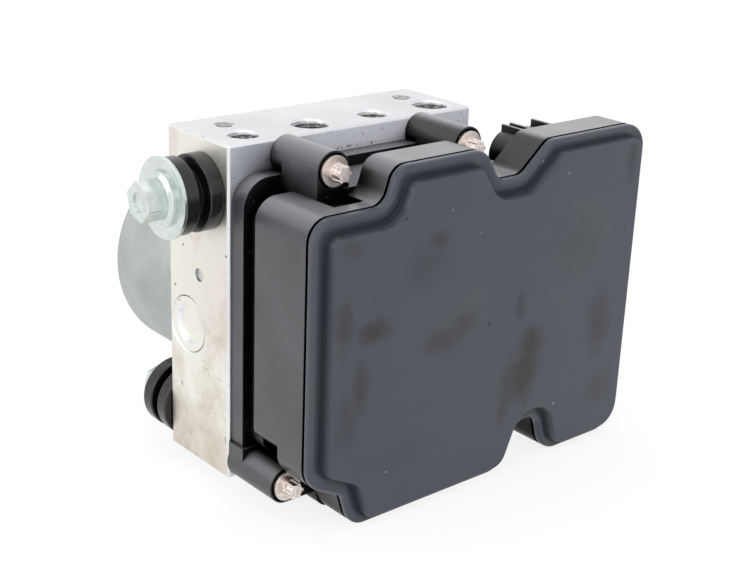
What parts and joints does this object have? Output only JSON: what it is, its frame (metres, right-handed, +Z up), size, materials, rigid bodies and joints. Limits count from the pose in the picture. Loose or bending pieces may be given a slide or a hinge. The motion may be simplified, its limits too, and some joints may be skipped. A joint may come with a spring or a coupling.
{
  "type": "abs brake module",
  "caption": "Compact brake pressure modulator: milled valve block with pipe ports on top, round pump motor behind, black controller box with raised lid in front, rubber mounts.",
  "frame": {"origin": "middle of the valve block's underside", "axes": "+X to the right along the block's width as seen from the controller side, +Y towards the pump motor, +Z up towards the pipe ports"},
  "size_m": [0.1512, 0.1215, 0.106],
  "materials": {
    "block_aluminium": "milled, satin, slightly stained",
    "turned_aluminium": "turned, satin",
    "bright_steel": "ground",
    "spring_steel": "drawn wire",
    "motor_can_steel": "matt plated, pale grey",
    "zinc_steel": "zinc plated, bright with a green cast",
    "screw_steel": "plated, warm satin",
    "ferrite": "sintered, dull",
    "lamination_steel": "stamped sheets",
    "bronze": "sintered",
    "copper": "enamelled wire",
    "carbon": "pressed carbon",
    "tinned_pins": "tinned",
    "black_plastic": "moulded, fine satin",
    "lid_plastic": "moulded, satin, smudged",
    "board_green": "solder mask",
    "chip_black": "moulded",
    "seal_rubber": "soft, dull",
    "grommet_rubber": "moulded, satin"
  },
  "bodies": {
    "unit": {"accumulator_caps": "bright_steel", "accumulator_spring_left": "spring_steel", "accumulator_spring_right": "spring_steel", "back_bolt": "zinc_steel", "back_bush": "zinc_steel", "back_grommet": "grommet_rubber", "back_washer": "zinc_steel", "ball_plugs": "bright_steel", "board_chips": "chip_black", "board_posts": "black_plastic", "brush_plate": "black_plastic", "circuit_board": "board_green", "coil_pins": "tinned_pins", "coil_windings": "copper", "coil_yokes": "zinc_steel", "connector_pins": "tinned_pins", "controller_housing": "black_plastic", "housing_lid": "lid_plastic", "housing_screws": "screw_steel", "housing_seal": "seal_rubber", "lid_seal": "seal_rubber", "motor_bearing": "bright_steel", "motor_brushes": "carbon", "motor_bush": "bronze", "motor_can": "motor_can_steel", "motor_magnets": "ferrite", "motor_screws": "zinc_steel", "motor_terminal": "black_plastic", "pump_caps": "block_aluminium", "pump_sleeves": "bright_steel", "pump_springs": "spring_steel", "side_bolt": "zinc_steel", "side_bush": "zinc_steel", "side_grommet": "grommet_rubber", "side_washer": "zinc_steel", "valve_block": "block_aluminium", "valve_cartridges": "bright_steel"},
    "rotor": {"motor_shaft": "bright_steel", "eccentric_ring": "bright_steel", "commutator": "copper", "armature_core": "lamination_steel", "armature_winding": "copper"},
    "accumulator_piston_left": {"accumulator_piston_left": "turned_aluminium"},
    "accumulator_piston_right": {"accumulator_piston_right": "turned_aluminium"},
    "pump_piston_left": {"pump_piston_left": "bright_steel"},
    "pump_piston_right": {"pump_piston_right": "bright_steel"},
    "valve_plunger_1": {"valve_plunger_1": "bright_steel"},
    "valve_plunger_2": {"valve_plunger_2": "bright_steel"},
    "valve_plunger_3": {"valve_plunger_3": "bright_steel"},
    "valve_plunger_4": {"valve_plunger_4": "bright_steel"},
    "valve_plunger_5": {"valve_plunger_5": "bright_steel"},
    "valve_plunger_6": {"valve_plunger_6": "bright_steel"},
    "valve_plunger_7": {"valve_plunger_7": "bright_steel"},
    "valve_plunger_8": {"valve_plunger_8": "bright_steel"}
  },
  "joints": [
    {"name": "motor_spin", "type": "hinge", "parent": "unit", "child": "rotor", "pos_m": [0, 0.0056, 0.042], "axis": [0, 1, 0], "continuous": true},
    {"name": "valve_plunger_1_slide", "type": "slide", "parent": "unit", "child": "valve_plunger_1", "axis": [0, 1, 0], "range_m": [0, 0.0003]},
    {"name": "valve_plunger_2_slide", "type": "slide", "parent": "unit", "child": "valve_plunger_2", "axis": [0, 1, 0], "range_m": [0, 0.0003]},
    {"name": "valve_plunger_3_slide", "type": "slide", "parent": "unit", "child": "valve_plunger_3", "axis": [0, 1, 0], "range_m": [0, 0.0003]},
    {"name": "valve_plunger_4_slide", "type": "slide", "parent": "unit", "child": "valve_plunger_4", "axis": [0, 1, 0], "range_m": [0, 0.0003]},
    {"name": "valve_plunger_5_slide", "type": "slide", "parent": "unit", "child": "valve_plunger_5", "axis": [0, 1, 0], "range_m": [0, 0.0003]},
    {"name": "valve_plunger_6_slide", "type": "slide", "parent": "unit", "child": "valve_plunger_6", "axis": [0, 1, 0], "range_m": [0, 0.0003]},
    {"name": "valve_plunger_7_slide", "type": "slide", "parent": "unit", "child": "valve_plunger_7", "axis": [0, 1, 0], "range_m": [0, 0.0003]},
    {"name": "valve_plunger_8_slide", "type": "slide", "parent": "unit", "child": "valve_plunger_8", "axis": [0, 1, 0], "range_m": [0, 0.0003]},
    {"name": "pump_piston_left_slide", "type": "slide", "parent": "unit", "child": "pump_piston_left", "axis": [-1, 0, 0], "range_m": [0, 0.002]},
    {"name": "pump_piston_right_slide", "type": "slide", "parent": "unit", "child": "pump_piston_right", "axis": [1, 0, 0], "range_m": [0, 0.002]},
    {"name": "accumulator_piston_left_slide", "type": "slide", "parent": "unit", "child": "accumulator_piston_left", "axis": [0, 0, -1], "range_m": [0, 0.008], "stiffness_N_per_m": 1500, "springref_m": -0.002, "deforming": ["accumulator_spring_left"]},
    {"name": "accumulator_piston_right_slide", "type": "slide", "parent": "unit", "child": "accumulator_piston_right", "axis": [0, 0, -1], "range_m": [0, 0.008], "stiffness_N_per_m": 1500, "springref_m": -0.002, "deforming": ["accumulator_spring_right"]}
  ]
}
